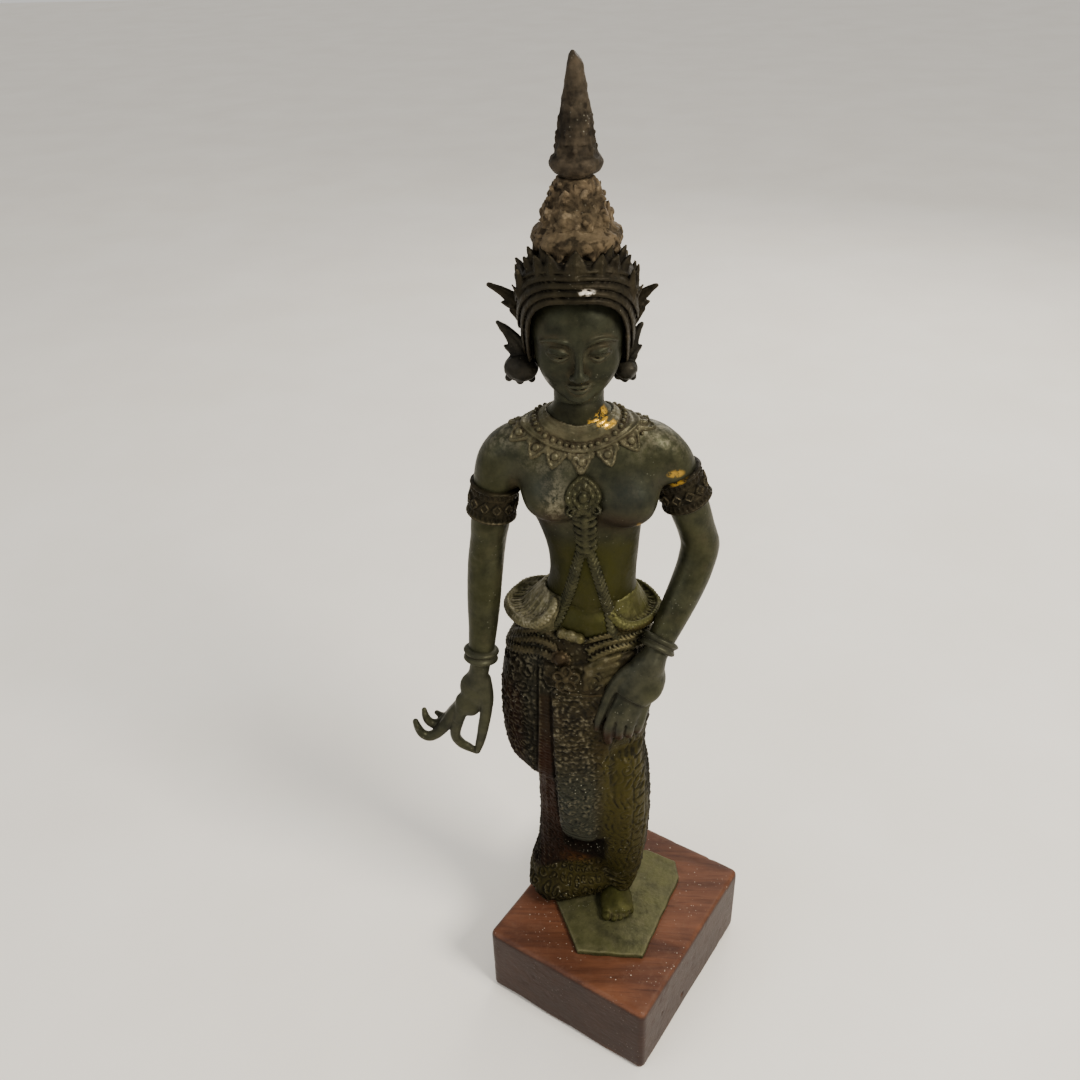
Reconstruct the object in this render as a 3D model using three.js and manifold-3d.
// Standing deity figurine: a sectional bronze casting on a bronze plate, screwed to a hardwood block.
// Millimetres, +Z up. Origin: centre of the wooden block's underside. The figure faces -Y.
// The figure is built from separately cast sections that plug together with spigots and sockets:
// lower body, torso, head, crown tiers, arms (joined under the armlets) and hands (joined at the
// bracelets). Ornaments are thin conformal castings that sit on the body with a 0.3 mm gap.
import * as THREE from 'three';
import { mergeVertices } from 'three/addons/utils/BufferGeometryUtils.js';
import Module from 'manifold-3d';

const wasm = await Module();
wasm.setup();

// ---------------------------------------------------------------- driving dimensions
const GAP = 0.3;                         // clearance between touching castings
const BLOCK_W = 80, BLOCK_D = 92, BLOCK_H = 38;   // hardwood block
const BLOCK_TURN = -29.6;                // degrees, block's width axis from +X
const BLOCK_CORNER = 3.5, BLOCK_EDGE = 2.2;
const PLATE_Z = BLOCK_H + 0.05, PLATE_T = 2.6;
const FLOOR_Z = PLATE_Z + PLATE_T;       // top of the bronze plate
const CROWN = { x: -16.0, y: 5 };        // axis of the crown
const SPIGOT_R = 4.2;
const SCREW = [[-2, -18], [-4, 20]];     // screw positions in plan

// ---------------------------------------------------------------- helpers
const V3 = (x, y, z) => new THREE.Vector3(x, y, z);

function solidOf(geometry) {
  const g = geometry.clone();
  for (const n of Object.keys(g.attributes)) if (n !== 'position') g.deleteAttribute(n);
  const m = mergeVertices(g, 1e-4);
  const tri = new Uint32Array(m.index.array);
  let s = new wasm.Manifold(new wasm.Mesh({ numProp: 3, vertProperties: new Float32Array(m.attributes.position.array), triVerts: tri }));
  if (s.volume() < 0) {
    for (let i = 0; i < tri.length; i += 3) [tri[i + 1], tri[i + 2]] = [tri[i + 2], tri[i + 1]];
    s = new wasm.Manifold(new wasm.Mesh({ numProp: 3, vertProperties: new Float32Array(m.attributes.position.array), triVerts: tri }));
  }
  return s;
}
function geometryOf(solid) {
  const m = solid.getMesh();
  const g = new THREE.BufferGeometry();
  g.setAttribute('position', new THREE.BufferAttribute(new Float32Array(m.vertProperties), 3));
  g.setIndex(new THREE.BufferAttribute(new Uint32Array(m.triVerts), 1));
  g.computeVertexNormals();
  return g;
}
const join = (...s) => s.flat().reduce((a, b) => a.add(b));
const cut = (a, ...s) => s.flat().reduce((p, b) => p.subtract(b), a);
const both = (a, b) => a.intersect(b);
const largest = (s) => s.decompose().sort((p, q) => q.volume() - p.volume())[0];

// A closed skin over stations [x, y, z, rx, ry], made from a capped cylinder whose rings are moved
// onto the stations. upright: every ring stays level; otherwise each ring is square to the path.
function loft(stations, { segs = 16, steps = 0, grow = 0, upright = true, side = V3(1, 0, 0), p = 2 } = {}) {
  const n = stations.length;
  const curve = new THREE.CatmullRomCurve3(stations.map((s) => V3(s[0], s[1], s[2])), false, 'centripetal');
  const radii = new THREE.CatmullRomCurve3(stations.map((s, i) => V3(s[3], s[4], i)), false, 'centripetal');
  const rings = steps || n;
  const g = new THREE.CylinderGeometry(1, 1, 1, segs, rings - 1, false);
  const pos = g.attributes.position;
  for (let i = 0; i < pos.count; i++) {
    const t = Math.min(1, Math.max(0, pos.getY(i) + 0.5));
    const c = curve.getPoint(t), r = radii.getPoint(t);
    const end = t < 1e-6 || t > 1 - 1e-6;
    const d = upright ? V3(0, 0, 1) : curve.getTangent(t).normalize();
    const u = side.clone().addScaledVector(d, -side.dot(d)).normalize();
    const v = u.clone().cross(d);
    let x = pos.getX(i), z = pos.getZ(i);
    const q = Math.hypot(x, z);
    if (q > 1e-6 && p !== 2) {
      const k = 1 / Math.pow(Math.pow(Math.abs(x / q), p) + Math.pow(Math.abs(z / q), p), 1 / p);
      x *= k; z *= k;
    }
    const point = c.addScaledVector(u, x * (Math.max(0.2, r.x) + grow)).addScaledVector(v, z * (Math.max(0.2, r.y) + grow));
    if (end) point.addScaledVector(d, (t < 0.5 ? -1 : 1) * grow);
    pos.setXYZ(i, point.x, point.y, point.z);
  }
  return solidOf(g);
}
// A round limb through points [x, y, z, r].
const limb = (pts, o = {}) => loft(pts.map((q) => [q[0], q[1], q[2], q[3], q[4] ?? q[3]]), { upright: false, segs: 10, ...o });
function ball(x, y, z, rx, ry, rz, grow = 0, w = 12, h = 7) {
  const g = new THREE.SphereGeometry(1, w, h);
  g.scale(rx + grow, ry + grow, rz + grow);
  g.translate(x, y, z);
  return solidOf(g);
}
function boxAt(x0, x1, y0, y1, z0, z1) {
  const g = new THREE.BoxGeometry(x1 - x0, y1 - y0, z1 - z0);
  g.translate((x0 + x1) / 2, (y0 + y1) / 2, (z0 + z1) / 2);
  return solidOf(g);
}
// An upright rod, from z0 to z1.
function rod(x, y, z0, z1, r, segs = 14) {
  const g = new THREE.CylinderGeometry(r, r, z1 - z0, segs);
  g.rotateX(Math.PI / 2);
  g.translate(x, y, (z0 + z1) / 2);
  return solidOf(g);
}
// A turned piece about an upright axis: profile of [radius, z] that starts and ends on the axis or closes on itself.
function turned(profile, x, y, { segs = 16, sx = 1, sy = 1, close = false } = {}) {
  const pts = profile.map((q) => new THREE.Vector2(q[0], q[1]));
  if (close) pts.push(pts[0].clone());
  const g = new THREE.LatheGeometry(pts, segs);
  g.rotateX(Math.PI / 2);
  g.scale(sx, sy, 1);
  g.translate(x, y, 0);
  return solidOf(g);
}
// A ring round an axis from a to b, with profile [radius, distance along the axis].
function ringOn(profile, a, b, { segs = 14 } = {}) {
  const pts = profile.map((q) => new THREE.Vector2(q[0], q[1]));
  pts.push(pts[0].clone());
  const g = new THREE.LatheGeometry(pts, segs);
  const d = b.clone().sub(a).normalize();
  g.applyQuaternion(new THREE.Quaternion().setFromUnitVectors(V3(0, 1, 0), d));
  g.translate(a.x, a.y, a.z);
  return solidOf(g);
}
function rodOn(a, b, r, segs = 10) {
  const g = new THREE.CylinderGeometry(r, r, a.distanceTo(b), segs);
  g.applyQuaternion(new THREE.Quaternion().setFromUnitVectors(V3(0, 1, 0), b.clone().sub(a).normalize()));
  g.translate((a.x + b.x) / 2, (a.y + b.y) / 2, (a.z + b.z) / 2);
  return solidOf(g);
}
// A flat leaf: an outline in x and z, through the depth y0 to y1.
function leaf(outline, y0, y1, { bevel = 0.5 } = {}) {
  const shape = new THREE.Shape(outline.map((q) => new THREE.Vector2(q[0], q[1])));
  const g = new THREE.ExtrudeGeometry(shape, { depth: y1 - y0 - 2 * bevel, bevelEnabled: bevel > 0, bevelSize: bevel, bevelThickness: bevel, bevelOffset: -bevel, bevelSegments: 1, steps: 1 });
  g.rotateX(Math.PI / 2);
  g.translate(0, y1 - bevel, 0);
  return solidOf(g);
}
// A cord of round section along a smooth curve.
function cord(points, r, { segs = 6, steps = 12 } = {}) {
  const shape = new THREE.Shape();
  shape.absarc(0, 0, r, 0, Math.PI * 2, false);
  const path = new THREE.CatmullRomCurve3(points.map((q) => V3(...q)), false, 'centripetal');
  return solidOf(new THREE.ExtrudeGeometry(shape, { steps, extrudePath: path, curveSegments: segs / 2, bevelEnabled: false }));
}

// ---------------------------------------------------------------- body forms (grow offsets the skin)
const LEFT_ARM = { shoulder: V3(13, 6, 270), elbow: V3(29, 9, 229) };
const RIGHT_ARM = { shoulder: V3(-43, 6, 270), elbow: V3(-50.8, 6.5, 226) };
const R_ARMLET = V3(-47.2, 6.2, 250.5), L_ARMLET = V3(20.4, 7.2, 256);
const dirR = RIGHT_ARM.elbow.clone().sub(RIGHT_ARM.shoulder).normalize();
const dirL = LEFT_ARM.elbow.clone().sub(LEFT_ARM.shoulder).normalize();
const along = (p, d, s) => p.clone().addScaledVector(d, s);

const armRPath = [[R_ARMLET.x - 0.05, 6.2, 250.2, 7.2], [-48.6, 6.3, 242, 7.2], [-50, 6.5, 233, 6.8], [-51.2, 6.2, 225, 6.8], [-52.2, 5, 215, 6.6], [-53, 3.2, 204, 6.3], [-53.8, 1.2, 193, 5.5], [-54.8, -0.8, 183, 4.9]];
const armLPath = [[L_ARMLET.x + 0.1, 7.2, 255.7, 7.2], [23.6, 7.9, 247, 7.2], [26.6, 8.6, 237.6, 6.9], [28.6, 8.8, 229.6, 7], [26.8, 6.8, 221, 6.8], [23.2, 3, 212, 6.5], [18.6, -2, 203, 5.8], [14.2, -7.6, 195.4, 5]];
const torsoForm = (g = 0) => join(
  loft([
    [-12.6, 6, 198.6, 21, 14.5], [-12.2, 6, 205, 19.6, 13.6], [-11.6, 6, 213, 17.4, 12.2], [-11, 6, 221, 16.4, 11.2], [-11, 6, 230, 17, 11.4],
    [-12, 6, 240, 19, 12.2], [-13.4, 6, 250, 21.6, 13], [-14.2, 6, 259, 23.4, 13], [-14.6, 6, 267, 25, 12.4],
    [-14.8, 6.2, 275, 25, 10.8], [-15.4, 6.6, 281, 19.5, 9.8], [-15.8, 6.8, 286, 12, 9.2], [-15.9, 6.8, 288.5, 9.6, 8.8]], { segs: 18, grow: g }),
  ball(-24.6, -3.4, 257.5, 10.4, 9.6, 10.2, g), ball(0.6, -3.4, 257.5, 10.4, 9.6, 10.2, g),
  limb([[-31, 6, 273.5, 9.5], [-38, 6, 271.6, 9.6], [-43.2, 6, 266.5, 9], [-46.2, 6.2, 259, 8], [along(R_ARMLET, dirR, 0).x, 6.2, 250.5, 7.2]], { grow: g }),
  limb([[1.5, 6, 274, 9.5], [9, 6, 272.6, 9.6], [14.6, 6.4, 267.2, 9], [18, 6.9, 261.5, 8], [L_ARMLET.x, 7.2, 256, 7.2]], { grow: g }),
);
const bellyForm = (g = 0) => ball(-12.3, -1, 205, 11, 8.6, 9.5, g);

const hipsForm = (g = 0) => join(
  loft([
    [-22.4, 5, 121.5, 12.6, 13], [-21, 5, 126.5, 20, 16.6], [-19, 5, 133, 27, 18.6], [-18.5, 5, 143, 29, 19.6], [-18, 5, 154, 30, 20.4],
    [-17.4, 5, 166, 30.4, 20.6], [-16.8, 5, 177, 29.8, 20], [-15.8, 5.4, 186, 28.2, 18.6], [-14.4, 5.8, 193, 25.4, 16.8], [-13, 6, 198, 22, 15]], { segs: 18, grow: g }),
  loft([
    [-16.5, 9, 46, 20, 11], [-16.5, 9, 56, 22.5, 12.5], [-13.6, 8.4, 70, 22.2, 13], [-11.8, 7.4, 84, 22.8, 13.6], [-11, 6.6, 98, 23.2, 14.6],
    [-11, 5.8, 112, 23.4, 15.6], [-12, 5.2, 126, 23.4, 16.6], [-13.4, 5, 138, 22, 17]], { segs: 18, grow: g }),
  loft([[2.5, 2.5, 62, 7.6, 9], [1.6, 1, 76, 10.2, 11], [1, -0.4, 92, 11.8, 12.2], [1, -1, 108, 12, 12.6], [0.4, -0.6, 124, 11, 12.6], [-1, 0, 140, 10, 12]], { segs: 16, grow: g }),
);
// the trailing hem, thick and lobed, swept towards the figure's right
const hemForm = (g = 0) => join(
  loft([[-20.5, 9.5, FLOOR_Z + 3.2, 18.5, 13.4], [-20.5, 9.3, 48, 20, 15], [-19, 9, 55, 20.4, 14.6], [-17.2, 9, 64, 18.8, 13]], { segs: 18, grow: g, p: 2.3 }),
  limb([[4, 5.2, 60, 4.4, 5.5], [-6, 0.8, 56, 5.4, 5], [-18, -1.4, 51, 6.2, 4.8], [-29, -1.4, 48, 6.6, 5], [-35.6, 2.6, 47.4, 4.6, 5.2]], { grow: g, side: V3(0, 0, 1) }),
);
const lowerForm = (g = 0) => join(hipsForm(g), hemForm(g));

const headForm = (g = 0) => join(
  loft([
    [-15.2, -4.8, 297, 3.4, 3], [-15.2, -2.4, 299.3, 7.6, 6.4], [-15.4, 0.6, 303, 11.6, 10], [-15.6, 3, 308, 14.2, 13],
    [-15.7, 4.2, 314, 15.5, 14.8], [-15.8, 4.8, 320, 15.9, 15.6], [-15.8, 5, 326, 15.4, 15.4], [-15.9, 5.2, 331.5, 12.4, 12.4], [-15.9, 5.2, 335.5, 6.4, 6.4]], { segs: 18, grow: g }),
  loft([[-15.8, 7, 289.2, 8.7, 8.6], [-15.8, 6.8, 294, 8.3, 8.4], [-15.8, 6, 301, 8.8, 9], [-15.8, 5, 309, 9.5, 10]], { segs: 18, grow: g }),
);
const noseForm = () => loft([[-14.6, -11.6, 308.5, 2.3, 1.8], [-14.6, -11.8, 310.3, 2, 2.2], [-14.7, -10.6, 314, 1.2, 1.5], [-14.8, -9.6, 319, 1, 1.2]], { segs: 10 });

const foot = (g = 0) => join(
  loft([[-2.6, 16, FLOOR_Z + 3.8, 4.4, 3.6], [-2.4, 9, FLOOR_Z + 4.4, 5.2, 4.4], [-0.8, 1, FLOOR_Z + 4, 6.8, 3.9], [0.2, -6, FLOOR_Z + 3.2, 7.6, 3.1], [0.6, -10.6, FLOOR_Z + 2.5, 6.4, 2.4], [0.4, -13, FLOOR_Z + 2.1, 4, 1.6]],
    { upright: false, segs: 16, side: V3(1, 0, 0), grow: g }),
  loft([[-1, 12, FLOOR_Z + 3, 5.2, 6.4], [-1, 12, 56, 5.4, 6], [0, 10, 70, 5.4, 6]], { segs: 14, grow: g }),
);

const parts = [];
const add = (name, solid, material) => parts.push({ name, solid, material });

// ---------------------------------------------------------------- materials
const BRONZE = { color: 0x3b3d31, roughness: 0.62, metalness: 0.85 };
const mat = (color, roughness, metalness) => ({ color, roughness, metalness });
const bronzeDark = mat(0x35382f, 0.6, 0.85);
const bronzeGreen = mat(0x454a33, 0.58, 0.8);
const bronzeBrown = mat(0x43372c, 0.72, 0.7);
const wood = mat(0x54291f, 0.45, 0.0);
const steel = mat(0x9a8f70, 0.4, 1.0);

// ---------------------------------------------------------------- base
{
  const w = BLOCK_W / 2 - BLOCK_EDGE, d = BLOCK_D / 2 - BLOCK_EDGE, r = BLOCK_CORNER;
  const s = new THREE.Shape();
  s.moveTo(-w + r, -d); s.lineTo(w - r, -d); s.absarc(w - r, -d + r, r, -Math.PI / 2, 0, false);
  s.lineTo(w, d - r); s.absarc(w - r, d - r, r, 0, Math.PI / 2, false);
  s.lineTo(-w + r, d); s.absarc(-w + r, d - r, r, Math.PI / 2, Math.PI, false);
  s.lineTo(-w, -d + r); s.absarc(-w + r, -d + r, r, Math.PI, Math.PI * 1.5, false);
  const g = new THREE.ExtrudeGeometry(s, { depth: BLOCK_H - 2 * BLOCK_EDGE, bevelEnabled: true, bevelSize: BLOCK_EDGE, bevelThickness: BLOCK_EDGE, bevelSegments: 2, curveSegments: 3 });
  g.translate(0, 0, BLOCK_EDGE);
  g.rotateZ(THREE.MathUtils.degToRad(BLOCK_TURN));
  let block = solidOf(g);
  for (const [x, y] of SCREW) {
    block = cut(block, rod(x, y, -1, BLOCK_H + 1, 2.3), rod(x, y, -1, 5.2, 4.8), rod(x, y, BLOCK_H - 7.5, BLOCK_H + 1, 4.9));
  }
  add('wooden_base', block, wood);

  // bronze plate: an eight-cornered casting with two tapped bosses let into the block
  const outline = [[-17.2, -30.6], [11.8, -31.4], [29.4, 12.6], [27.8, 22.4], [14, 28.6], [-19.6, 29.6], [-33.2, 24.4], [-36, 15]];
  const ps = new THREE.Shape(outline.map((q) => new THREE.Vector2(q[0] * 0.975 - 0.08, q[1] * 0.975)));
  const pg = new THREE.ExtrudeGeometry(ps, { depth: PLATE_T - 0.9, bevelEnabled: true, bevelSize: 0.8, bevelThickness: 0.9, bevelSegments: 1 });
  pg.translate(0, 0, PLATE_Z);
  let plate = both(solidOf(pg), boxAt(-60, 60, -60, 60, PLATE_Z, PLATE_Z + PLATE_T));
  for (const [x, y] of SCREW) plate = join(plate, rod(x, y, PLATE_Z - 7, PLATE_Z + 1, 4.5));
  for (const [x, y] of SCREW) plate = cut(plate, rod(x, y, PLATE_Z - 8, PLATE_Z + 0.6, 2.3));
  plate = cut(plate, rod(-1, 12, PLATE_Z - 1, FLOOR_Z + 1, 3.1 + GAP), rod(-24, 10, PLATE_Z - 1, FLOOR_Z + 1, 3.1 + GAP));
  add('base_plate', plate, bronzeGreen);
  const names = ['mounting_screw_front', 'mounting_screw_rear'];
  SCREW.forEach(([x, y], i) => {
    const slot = boxAt(x - 5, x + 5, y - 0.6, y + 0.6, -1, 2.4);
    add(names[i], cut(join(rod(x, y, 1.2, 4.9, 4.2, 18), rod(x, y, 4, PLATE_Z - 0.3, 2, 12)), slot), steel);
  });
}

// ---------------------------------------------------------------- lower body and feet
const beltZone = (lo, hi, g) => both(hipsForm(g), boxAt(-80, 60, -60, 60, lo, hi));
const torsoSpigot = rod(-12.6, 6, 186, 200, 8, 18);
let lower = lowerForm();
lower = both(lower, boxAt(-90, 60, -60, 60, FLOOR_Z + GAP, 198.2));
lower = cut(lower, rod(-12.6, 6, 185.4, 199, 8 + GAP, 18));
lower = cut(lower, foot(GAP));
lower = join(lower, rod(-24, 10, PLATE_Z + 0.2, 48, 3.1));
add('lower_body', largest(lower), bronzeBrown);
let leftFoot = both(foot(), boxAt(-60, 60, -60, 60, FLOOR_Z + 0.05, 80));
leftFoot = join(leftFoot, rod(-1, 12, PLATE_Z + 0.2, FLOOR_Z + 3, 3.1));
add('left_foot', leftFoot, bronzeGreen);

// pleated panel hanging from the belt over the front of the skirt
{
  const outline = [[-28.5, 186], [-29.5, 160], [-28.5, 130], [-27.2, 104], [-25.6, 95], [-18, 91], [-9, 89.5], [-6.6, 96], [-5.6, 120], [-6, 150], [-4.5, 170], [-4, 186]];
  const panel = both(both(leaf(outline, -30, 8, { bevel: 0 }), boxAt(-60, 60, -60, 8, 80, 186)),
    loft([[-17, 2, 86, 14, 14.4], [-17, 1.4, 104, 17, 16.4], [-17.5, 1, 122, 22, 18.4], [-18, 1.6, 140, 27, 20], [-17.6, 3, 160, 31, 22.2], [-16.8, 4, 178, 31, 22], [-15.8, 5, 188, 29.5, 20.6]], { segs: 18 }));
  add('skirt_front_panel', largest(cut(panel, lowerForm(GAP))), bronzeDark);
}
// belt with its rows of cast cord, and the rosette clasp
add('belt', largest(cut(both(loft([[-16.6, 5.1, 184, 31, 21.4], [-15.8, 5.4, 190, 30, 20.6], [-14.6, 5.8, 196, 27, 18.6]], { segs: 18 }), boxAt(-80, 60, -60, 60, 186.4, 194.6)), hipsForm(GAP))), bronzeBrown);
{
  const g = new THREE.CylinderGeometry(5.6, 6.2, 2.6, 16);
  g.translate(0, 0, 0);
  g.rotateX(-0.15);
  g.translate(-20.6, -17.6, 190);
  const petals = [];
  for (let i = 0; i < 8; i++) {
    const a = (i * Math.PI) / 4;
    petals.push(ball(-20.6 + 4.6 * Math.cos(a), -18.2, 190 + 4.6 * Math.sin(a), 2, 1.7, 2, 0, 6, 4));
  }
  const rosette = join(solidOf(g), ...petals, ball(-20.6, -18.8, 190, 2.6, 2.2, 2.6, 0, 8, 5));
  const beltSkin = loft([[-16.6, 5.1, 176, 31, 22.2], [-16.6, 5.1, 184, 31, 21.4], [-15.8, 5.4, 190, 30, 20.6], [-14.6, 5.8, 196, 27, 18.6], [-14, 6, 200, 24, 17]], { segs: 18, grow: GAP });
  add('belt_rosette', largest(cut(rosette, beltSkin)), bronzeDark);
}

// flared upper edges of the hip cloth, one each side, with a corded rim
{
  const profile = [[0.56, 197.2], [0.84, 195.2], [0.985, 199], [1.06, 203.4], [1.055, 205.8], [0.99, 206.6], [0.94, 204.4], [0.86, 201], [0.56, 199.4]];
  const ring = turned(profile, -14.4, 6, { segs: 26, sx: 29.6, sy: 20.4, close: true });
  const body = [torsoForm(GAP), bellyForm(GAP), hipsForm(GAP), beltZone(180, 200, 2.9)];
  const beltOut = both(loft([[-16.6, 5.1, 184, 31, 21.4], [-15.8, 5.4, 190, 30, 20.6], [-14.6, 5.8, 196, 27, 18.6]], { segs: 18, grow: GAP }), boxAt(-80, 60, -60, 60, 186, 194.9));
  const flaps = cut(ring, ...body, beltOut, limb(armLPath, { segs: 12, steps: 12, grow: GAP + 0.1 }));
  const frontGap = boxAt(-25.5, -1.5, -60, 2, 180, 220);
  const half = cut(flaps, frontGap);
  add('hip_flap_right', largest(both(half, boxAt(-90, -14.6, -60, 60, 180, 220))), bronzeBrown);
  add('hip_flap_left', largest(both(half, boxAt(-14.3, 60, -60, 60, 180, 220))), bronzeBrown);
}

// ---------------------------------------------------------------- torso, chains, medallion, necklace
const stubR = rodOn(along(R_ARMLET, dirR, 0), along(R_ARMLET, dirR, 30), 30, 16);
const stubL = rodOn(along(L_ARMLET, dirL, 0), along(L_ARMLET, dirL, 30), 30, 16);
const socketR = rodOn(along(R_ARMLET, dirR, -9), along(R_ARMLET, dirR, 1), SPIGOT_R + GAP);
const socketL = rodOn(along(L_ARMLET, dirL, -9), along(L_ARMLET, dirL, 1), SPIGOT_R + GAP);
let torso = join(torsoForm(), bellyForm());
torso = both(torso, boxAt(-90, 60, -60, 60, 198.5, 288.9));
torso = cut(torso, both(stubR, boxAt(-90, -34, -60, 60, 200, 262)), both(stubL, boxAt(8, 60, -60, 60, 200, 262)), socketR, socketL, rod(-15.8, 6.8, 280, 290, 5 + GAP, 16));
torso = join(torso, torsoSpigot);
add('torso', largest(torso), bronzeDark);

const skinForChest = () => [torsoForm(GAP), bellyForm(GAP)];
{
  const flapKeep = boxAt(-90, 60, -60, 60, 204, 300);
  const flapRing = turned([[0.5, 190], [1.08, 190], [1.08, 207.2], [0.5, 207.2]], -14.4, 6, { segs: 26, sx: 29.6, sy: 20.4, close: true });
  const medZone = boxAt(-20.4, -7.2, -60, 6, 251.6, 290);
  const left = cord([[-11.6, -7.4, 251.4], [-10.6, -6.6, 244], [-8.2, -6.2, 234], [-5.6, -6.6, 224], [-3.2, -8, 215], [-2, -9.6, 208]], 1.5);
  const right = cord([[-15.6, -7.4, 251.4], [-16.4, -6.6, 244], [-18, -6, 234], [-20.2, -6, 224], [-23.6, -6.8, 215], [-26.6, -8, 208]], 1.5);
  const mid = boxAt(-13.75, -13.45, -60, 20, 200, 300);
  const keep = (s) => largest(cut(both(s, flapKeep), ...skinForChest(), medZone, both(flapRing, boxAt(-90, 60, -60, 60, 190, 207.6)), mid));
  add('body_chain_right', keep(right), bronzeBrown);
  add('body_chain_left', keep(left), bronzeBrown);
}
const medallionForm = (g = 0) => {
  const o = [[-13.8, 268.4], [-10, 265.4], [-7.6, 260.6], [-9.4, 256.4], [-12.4, 254.4], [-13.8, 251.8], [-15.2, 254.4], [-18.2, 256.4], [-20, 260.6], [-17.6, 265.4]];
  const c = [-13.8, 260.6];
  return leaf(o.map(([x, z]) => [c[0] + (x - c[0]) * (1 + g / 6), c[1] + (z - c[1]) * (1 + g / 8)]), -13 - g, -1, { bevel: 0.6 });
};
add('chest_medallion', largest(cut(both(medallionForm(), loft([[-13.8, 6, 248, 23, 15], [-14.2, 6, 260, 25, 15.8], [-14.6, 6, 272, 26.6, 15.2]], { segs: 18 })), ...skinForChest())), bronzeDark);
{
  // collar: a conformal shell over the shoulders, round at its outer edge, with seven leaf pendants
  const shell = join(
    loft([[-14.6, 6, 262, 26, 15.4], [-14.7, 6, 268, 27, 14.9], [-14.8, 6.2, 276, 26.6, 12.9], [-15.4, 6.6, 282.6, 20.6, 11.8], [-15.8, 6.8, 288, 13.4, 10.8], [-15.9, 6.8, 290.6, 11, 10.2]], { segs: 18 }),
    limb([[-31, 6, 274.6, 11], [-40, 6, 273, 11]], {}), limb([[1.5, 6, 274.6, 11], [10, 6, 273, 11]], {}));
  const star = new THREE.Shape();
  for (let i = 0; i < 44; i++) {
    const t = (i / 44) * Math.PI * 2 - Math.PI / 2, k = i % 2 ? 0.905 : 1;
    const q = [-16 + 24.6 * k * Math.cos(t), 290 + 22.4 * k * Math.sin(t)];
    if (i) star.lineTo(...q); else star.moveTo(...q);
  }
  const og = new THREE.ExtrudeGeometry(star, { depth: 70, bevelEnabled: false, steps: 1 });
  og.rotateX(Math.PI / 2);
  og.translate(0, 40, 0);
  const outline = solidOf(og);
  const lowCut = boxAt(-90, 60, -60, 60, 240, 264);
  const med = medallionForm(0.6);
  let collar = cut(both(shell, outline), torsoForm(GAP), lowCut, med, loft([[-15.8, 6.9, 286, 9.4, 9.2], [-15.8, 6.9, 294, 9.2, 9.2]], { segs: 16 }));
  add('necklace', largest(collar), bronzeBrown);
}

// ---------------------------------------------------------------- head
const HEAD_YAW = 5;
const yaw = (s) => {
  // the head and its crown are turned a little towards the figure's left
  const g = geometryOf(s);
  g.translate(-CROWN.x, -CROWN.y, 0);
  g.rotateZ(THREE.MathUtils.degToRad(HEAD_YAW));
  g.translate(CROWN.x, CROWN.y, 0);
  return solidOf(g);
};
const headSolid = join(both(headForm(), boxAt(-90, 60, -60, 60, 289.2, 340)), noseForm(), rod(-15.8, 6.8, 280.6, 296, 5, 16));
add('head', headSolid, bronzeGreen);

// diadem: a deep band that frames the face and carries upright leaves
{
  const outer = loft([[-16, 7.5, 307, 17.6, 13.6], [-16, 6.6, 313, 18.6, 16], [-16, 6, 320, 19.4, 18.2], [-16, 5.6, 326, 19.8, 19.2], [-16, 5.4, 331, 19.6, 19.2], [-16, 5.2, 336, 18, 17.8], [-16, 5, 340.4, 15.4, 15.4]], { segs: 18 });
  const window_ = loft([[-15.7, -30, 311.5, 15.4, 20.2], [-15.7, 3.4, 311.5, 15.4, 20.2], [-15.7, 8, 307, 16, 15]], { upright: false, segs: 18, side: V3(1, 0, 0), p: 2.3 });
  let band = cut(outer, headForm(GAP), window_, turned([[0, 336.4], [13.6, 336.4], [14.6, 342], [0, 342]], CROWN.x, CROWN.y, { segs: 18 }));
  const leaves = [];
  const LEAF_BASE = [333, 334.6, 336.6, 338, 338.6, 338, 336.6, 334.6, 333];
  for (let i = 0; i < 9; i++) {
    const a = THREE.MathUtils.degToRad(-90 + (i - 4) * 26);
    const g = new THREE.CylinderGeometry(0.3, 2.9, 7, 4);
    g.rotateX(Math.PI / 2);
    g.rotateZ(a);
    g.translate(CROWN.x + 17 * Math.cos(a), 5.2 + 16.8 * Math.sin(a), LEAF_BASE[i] + 2.4);
    leaves.push(solidOf(g));
  }
  band = cut(join(band, ...leaves), turned([[0, 336.4], [14, 336.4], [15.4, 341], [14.6, 348], [0, 348]], CROWN.x, CROWN.y, { segs: 18 }), headForm(GAP));
  add('diadem', largest(band), bronzeBrown);
}

// crown in three turned tiers, each with a spigot into the one below
add('crown_dome', cut(turned([[0, 336.8], [13.2, 336.8], [14.6, 340.4], [13, 343.4], [12, 344.8], [13.2, 345.8], [13.9, 347.4], [13.4, 349.4], [11.4, 351], [0, 351]], CROWN.x, CROWN.y),
  rod(CROWN.x, CROWN.y, 344, 352, SPIGOT_R + GAP)), bronzeBrown);
add('crown_tier', cut(join(turned([[0, 351.3], [10.8, 351.3], [10.6, 354.6], [9, 356.6], [9.2, 358.8], [7.6, 360.8], [7.7, 362.6], [6.6, 364.6], [0, 364.6]], CROWN.x, CROWN.y, { segs: 16 }), rod(CROWN.x, CROWN.y, 344.5, 352, SPIGOT_R)),
  rod(CROWN.x, CROWN.y, 358.6, 365, 3 + GAP)), bronzeBrown);
add('crown_spire', join(turned([[0, 364.9], [6.4, 364.9], [7.6, 366.4], [7.8, 368.2], [6.9, 370.2], [6.1, 371.4], [6, 374], [5.2, 379.4], [4.2, 385], [3.1, 391], [2.2, 396.4], [1.3, 399], [0, 400]], CROWN.x, CROWN.y, { segs: 16 }), rod(CROWN.x, CROWN.y, 359, 366, 3)), bronzeBrown);

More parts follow.
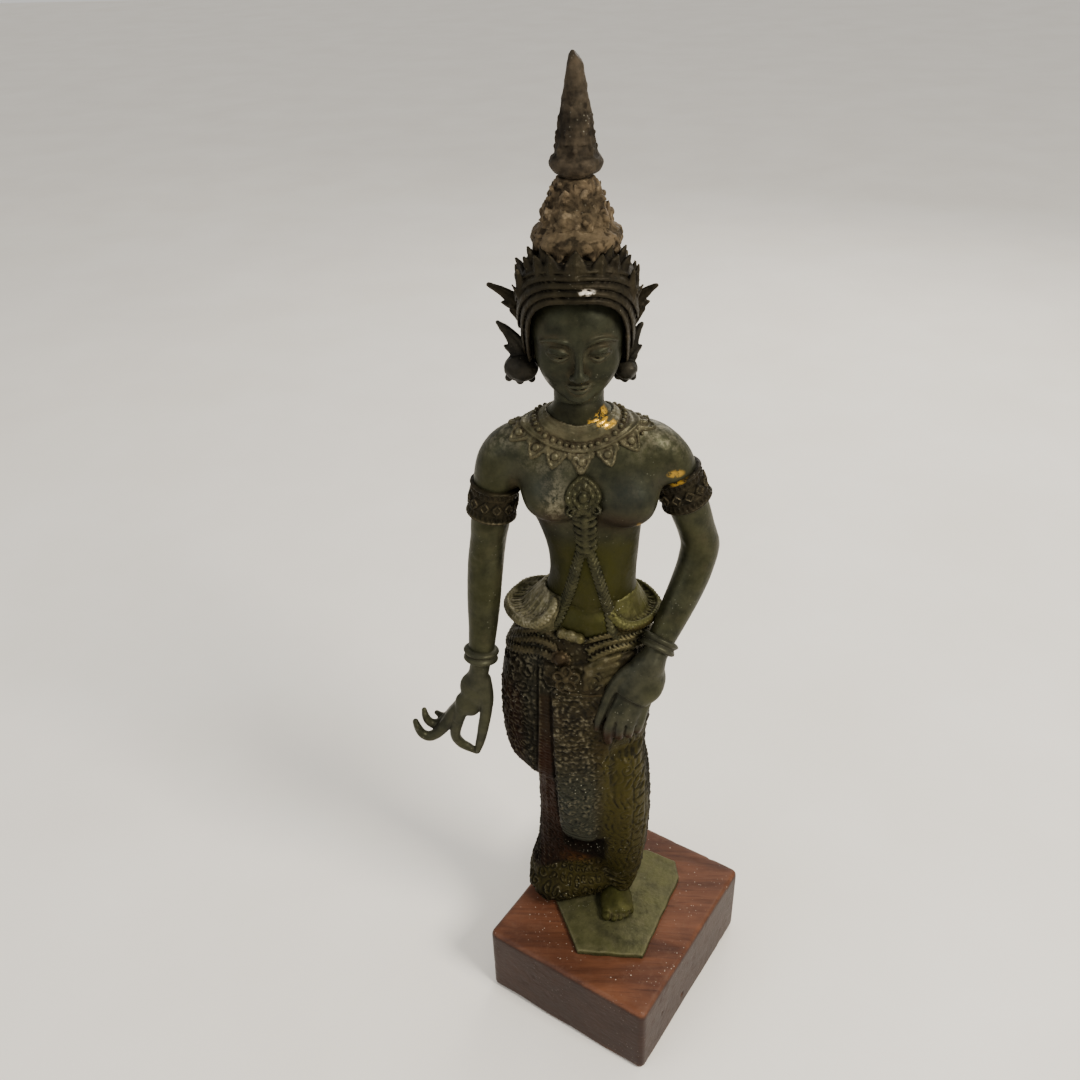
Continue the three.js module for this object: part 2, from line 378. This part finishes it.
// wings of the crown, behind the temples, and the ear pendants
const clearHead = [headForm(GAP), loft([[-16, 7.5, 306, 17.4, 13.6], [-16, 6.6, 313, 18.6, 16], [-16, 6, 320, 19.6, 18.4], [-16, 5.6, 326, 20.2, 19.6], [-16, 5.4, 331, 20, 19.4], [-16, 5.2, 336, 18.4, 18], [-16, 5, 341, 15.6, 15.6]], { segs: 18, grow: GAP })];
add('crown_wing_right', largest(cut(leaf([[-45.6, 331.4], [-43.2, 327.2], [-40.2, 323.4], [-38, 320], [-35.6, 314.6], [-30, 313], [-30, 328], [-36, 327.6], [-40.6, 329.6]], 6.2, 10.4), ...clearHead)), bronzeBrown);
add('crown_wing_left', largest(cut(leaf([[10, 330.8], [7.8, 326.6], [5.6, 322.6], [3.6, 318.6], [2.4, 314.6], [-2, 313], [-2, 328], [4.4, 327.4], [7.4, 329.6]], 6.2, 10.4), ...clearHead)), bronzeBrown);
add('ear_ornament_right', largest(cut(join(
  leaf([[-42.6, 317.8], [-41.2, 312.6], [-39.4, 308.6], [-40.4, 304.6], [-39.4, 301.6], [-37.6, 299.6], [-38.4, 297.2], [-34.8, 296.4], [-31, 298], [-29.4, 301], [-29.6, 305.4], [-31.6, 309.6], [-34.6, 313], [-38.6, 316.2]], 3.2, 9.4),
  ball(-34.8, 3.6, 302.2, 4.4, 3.4, 4.2, 0, 12, 8)), ...clearHead)), bronzeDark);
add('ear_ornament_left', largest(cut(join(
  leaf([[5.9, 317.3], [5.0, 312.6], [3.9, 308.4], [4.2, 304.4], [2.7, 300.8], [2.4, 297.4], [-0.6, 298], [-2.4, 301], [-2.2, 305.4], [-0.6, 309.6], [2, 313], [4.4, 316.2]], 3.2, 9.4),
  ball(0.9, 3.6, 302.4, 3.6, 3.4, 4.2, 0, 12, 8)), ...clearHead)), bronzeDark);

// ---------------------------------------------------------------- arms
const bandOf = (r, w, t) => [[r, -w], [r + t * 0.7, -w], [r + t, -w * 0.6], [r + t * 0.7, 0], [r + t, w * 0.6], [r + t * 0.7, w], [r, w]];
{
  const armR = join(limb(armRPath, { segs: 10, steps: 9 }), rodOn(along(R_ARMLET, dirR, -8.4), along(R_ARMLET, dirR, 4), SPIGOT_R));
  const topR = rodOn(along(R_ARMLET, dirR, -30), along(R_ARMLET, dirR, GAP), 30, 16);
  const capR = cut(topR, rodOn(along(R_ARMLET, dirR, -31), along(R_ARMLET, dirR, 2), SPIGOT_R + 0.01));
  const wristR = V3(-54.8, -0.8, 183), wristRd = V3(-1.0, -2.0, -10).normalize();
  let a = cut(armR, capR, rodOn(along(wristR, wristRd, -0.2), along(wristR, wristRd, 20), 20, 16), rodOn(along(wristR, wristRd, -6), along(wristR, wristRd, 1), 2.6 + GAP));
  add('right_forearm', largest(a), bronzeDark);
  const armL = join(limb(armLPath, { segs: 10, steps: 9 }), rodOn(along(L_ARMLET, dirL, -8.4), along(L_ARMLET, dirL, 4), SPIGOT_R));
  const topL = cut(rodOn(along(L_ARMLET, dirL, -30), along(L_ARMLET, dirL, GAP), 30, 16), rodOn(along(L_ARMLET, dirL, -31), along(L_ARMLET, dirL, 2), SPIGOT_R + 0.01));
  const wristL = V3(14.2, -7.6, 195.4), wristLd = V3(-4.4, -5.6, -7.6).normalize();
  let b = cut(armL, topL, rodOn(along(wristL, wristLd, -0.2), along(wristL, wristLd, 20), 20, 16), rodOn(along(wristL, wristLd, -6), along(wristL, wristLd, 1), 2.6 + GAP));
  add('left_forearm', largest(b), bronzeDark);

  // armlets close over the arm joints, bracelets over the wrist joints
  const armletAxR = [along(R_ARMLET, dirR, 0), along(R_ARMLET, dirR, 10)];
  add('right_armlet', cut(ringOn(bandOf(6.4, 6.6, 3.4), ...armletAxR), limb(armRPath, { segs: 10, steps: 9, grow: GAP }), torsoForm(GAP), armR), bronzeBrown);
  add('left_armlet', cut(ringOn(bandOf(6.4, 6.8, 3.4), along(L_ARMLET, dirL, 0), along(L_ARMLET, dirL, 10)), limb(armLPath, { segs: 10, steps: 9, grow: GAP }), torsoForm(GAP), armL), bronzeBrown);

  // right hand: palm turned out, thumb and forefinger meeting, the other fingers swept outwards
  const handR = (g = 0) => join(
    limb([[-54.9, -1, 182.7, 4.7, 4.3], [-55.3, -1.6, 177, 4.7, 3.9], [-57.6, -2, 169, 6.4, 3.6], [-60.4, -2.2, 160, 7.2, 3.5], [-63.8, -2.4, 152.6, 5.4, 3.1]], { segs: 12, side: V3(1, 0, 0.35), grow: g }),
    limb([[-54.2, -2.2, 168, 3.6], [-53.6, -2.8, 158, 3.3], [-55.2, -3.2, 147, 2.7], [-57.2, -3.2, 139, 2.2], [-58.8, -3.2, 133.6, 1.5]], { segs: 8, grow: g }),
    limb([[-64.4, -2.6, 156, 3], [-66.4, -3, 147, 2.7], [-65.8, -3.2, 140, 2.3], [-62.8, -3.2, 137, 2], [-60, -3.2, 135, 1.8]], { segs: 8, grow: g }),
    limb([[-64.4, -0.4, 156, 3], [-68.6, -0.6, 148.8, 3], [-73.4, -1.6, 142.6, 2.7], [-78.6, -2, 139.4, 2.3], [-82.2, -2, 142, 2], [-84.2, -2, 147, 1.3]], { segs: 8, grow: g }),
    limb([[-63, -0.2, 158, 3], [-68, 1.6, 151, 2.8], [-73, 2, 145, 2.5], [-77.4, 1.8, 142, 2.2], [-80, 1.6, 145, 1.9], [-81, 1.6, 149.6, 1.2]], { segs: 8, grow: g }),
    rodOn(along(wristR, wristRd, -5.4), along(wristR, wristRd, 4), 2.6 + (g ? g : 0)));
  const endR = cut(rodOn(along(wristR, wristRd, -20), along(wristR, wristRd, 0.15), 12, 14), rodOn(along(wristR, wristRd, -21), along(wristR, wristRd, 1), 2.62));
  add('right_hand', largest(cut(handR(), endR)), bronzeDark);
  add('right_bracelet', cut(ringOn([[4.2, -3.6], [6.3, -3.6], [6.9, -2.6], [6.9, 2.6], [6.3, 3.6], [4.2, 3.6]], along(wristR, wristRd, 0), along(wristR, wristRd, 10)), limb(armRPath, { segs: 10, steps: 9, grow: GAP }), handR(GAP)), bronzeDark);

  // left hand: resting on the thigh, cast as a back and a finger section joined across the knuckles
  const handBack = (g = 0) => join(
    limb([[14, -8.2, 195, 4.8, 4.2], [12.2, -11.4, 191, 5.6, 4.2], [9, -15.4, 185, 7.4, 3.9], [6, -18.4, 177.4, 8, 3.6], [3.4, -20.4, 169.6, 7.6, 3.3], [1.6, -21.6, 163, 6.8, 3.1]], { segs: 16, side: V3(1, 0, -0.45), grow: g }),
    rodOn(along(wristL, wristLd, -5.4), along(wristL, wristLd, 3), 2.6 + g));
  const thumb = (g = 0) => limb([[3, -18.6, 183, 3], [-1.6, -21.4, 175, 2.7], [-5.2, -22.6, 167.4, 2.2], [-7.4, -22.6, 162.4, 1.4]], { segs: 8, grow: g });
  const fingers = (g = 0) => join(
    limb([[-0.4, -21, 168, 3.2], [-4.4, -22.4, 159, 2.7], [-7.4, -21.8, 151, 2.2], [-9, -20.6, 146.4, 1.4]], { segs: 8, grow: g }),
    limb([[3.4, -21.2, 167, 3.3], [0.6, -22.6, 157, 2.8], [-2.2, -21.6, 148, 2.3], [-4, -20.2, 142.4, 1.4]], { segs: 8, grow: g }),
    limb([[6.6, -20.6, 168, 3.2], [5.4, -21.6, 158, 2.7], [3.6, -20.6, 150, 2.2], [2.2, -19.4, 145, 1.4]], { segs: 8, grow: g }));
  const n = V3(0.52, -0.1, 0.85).normalize();
  const seamAt = V3(4.4, -20, 170.6);
  const below = rodOn(along(seamAt, n, -40), seamAt.clone(), 40, 12);
  const above = rodOn(along(seamAt, n, GAP), along(seamAt, n, 60), 40, 12);
  const clear = [lowerForm(GAP), loft([[-17, 2, 86, 14, 14.4], [-17, 1.4, 104, 17, 16.4], [-17.5, 1, 122, 22, 18.4], [-18, 1.6, 140, 27, 20], [-17.6, 3, 160, 31, 22.2], [-16.8, 4, 178, 31, 22], [-15.8, 5, 190, 29.5, 20.6]], { segs: 18, grow: GAP }),
    loft([[-16.6, 5.1, 184, 31, 21.4], [-15.8, 5.4, 190, 30, 20.6], [-14.6, 5.8, 196, 27, 18.6]], { segs: 18, grow: GAP })];
  const beltGrown = loft([[-16.6, 5.1, 176, 31, 22.2], [-16.6, 5.1, 184, 31, 21.4], [-15.8, 5.4, 190, 30, 20.6], [-14.6, 5.8, 196, 27, 18.6]], { segs: 18, grow: GAP });
  const endL = cut(rodOn(along(wristL, wristLd, -20), along(wristL, wristLd, 0.15), 12, 14), rodOn(along(wristL, wristLd, -21), along(wristL, wristLd, 1), 2.62));
  const whole = join(handBack(), thumb(), fingers());
  const hip = turned([[0.5, 194], [1.1, 194], [1.1, 207.2], [0.5, 207.2]], -14.4, 6, { segs: 26, sx: 29.6, sy: 20.4, close: true });
  add('left_hand', largest(cut(both(whole, join(above, thumb(0.05))), endL, ...clear, hip, cut(fingers(GAP), above))), bronzeDark);
  add('left_fingers', largest(cut(both(join(fingers(), handBack()), below), ...clear, thumb(GAP))), bronzeDark);
  add('left_bracelet', cut(ringOn([[4.2, -3.4], [6.5, -3.4], [7.1, -2.4], [7.1, 2.4], [6.5, 3.4], [4.2, 3.4]], along(wristL, wristLd, 0), along(wristL, wristLd, 10)), limb(armLPath, { segs: 10, steps: 9, grow: GAP }), handBack(GAP), thumb(GAP), hip, beltGrown), bronzeDark);
}

// ---------------------------------------------------------------- scene graph
const group = new THREE.Group();
for (const { name, solid, material } of parts) {
  const mesh = new THREE.Mesh(geometryOf(solid), new THREE.MeshStandardMaterial(material));
  mesh.name = name;
  group.add(mesh);
}
export default group;
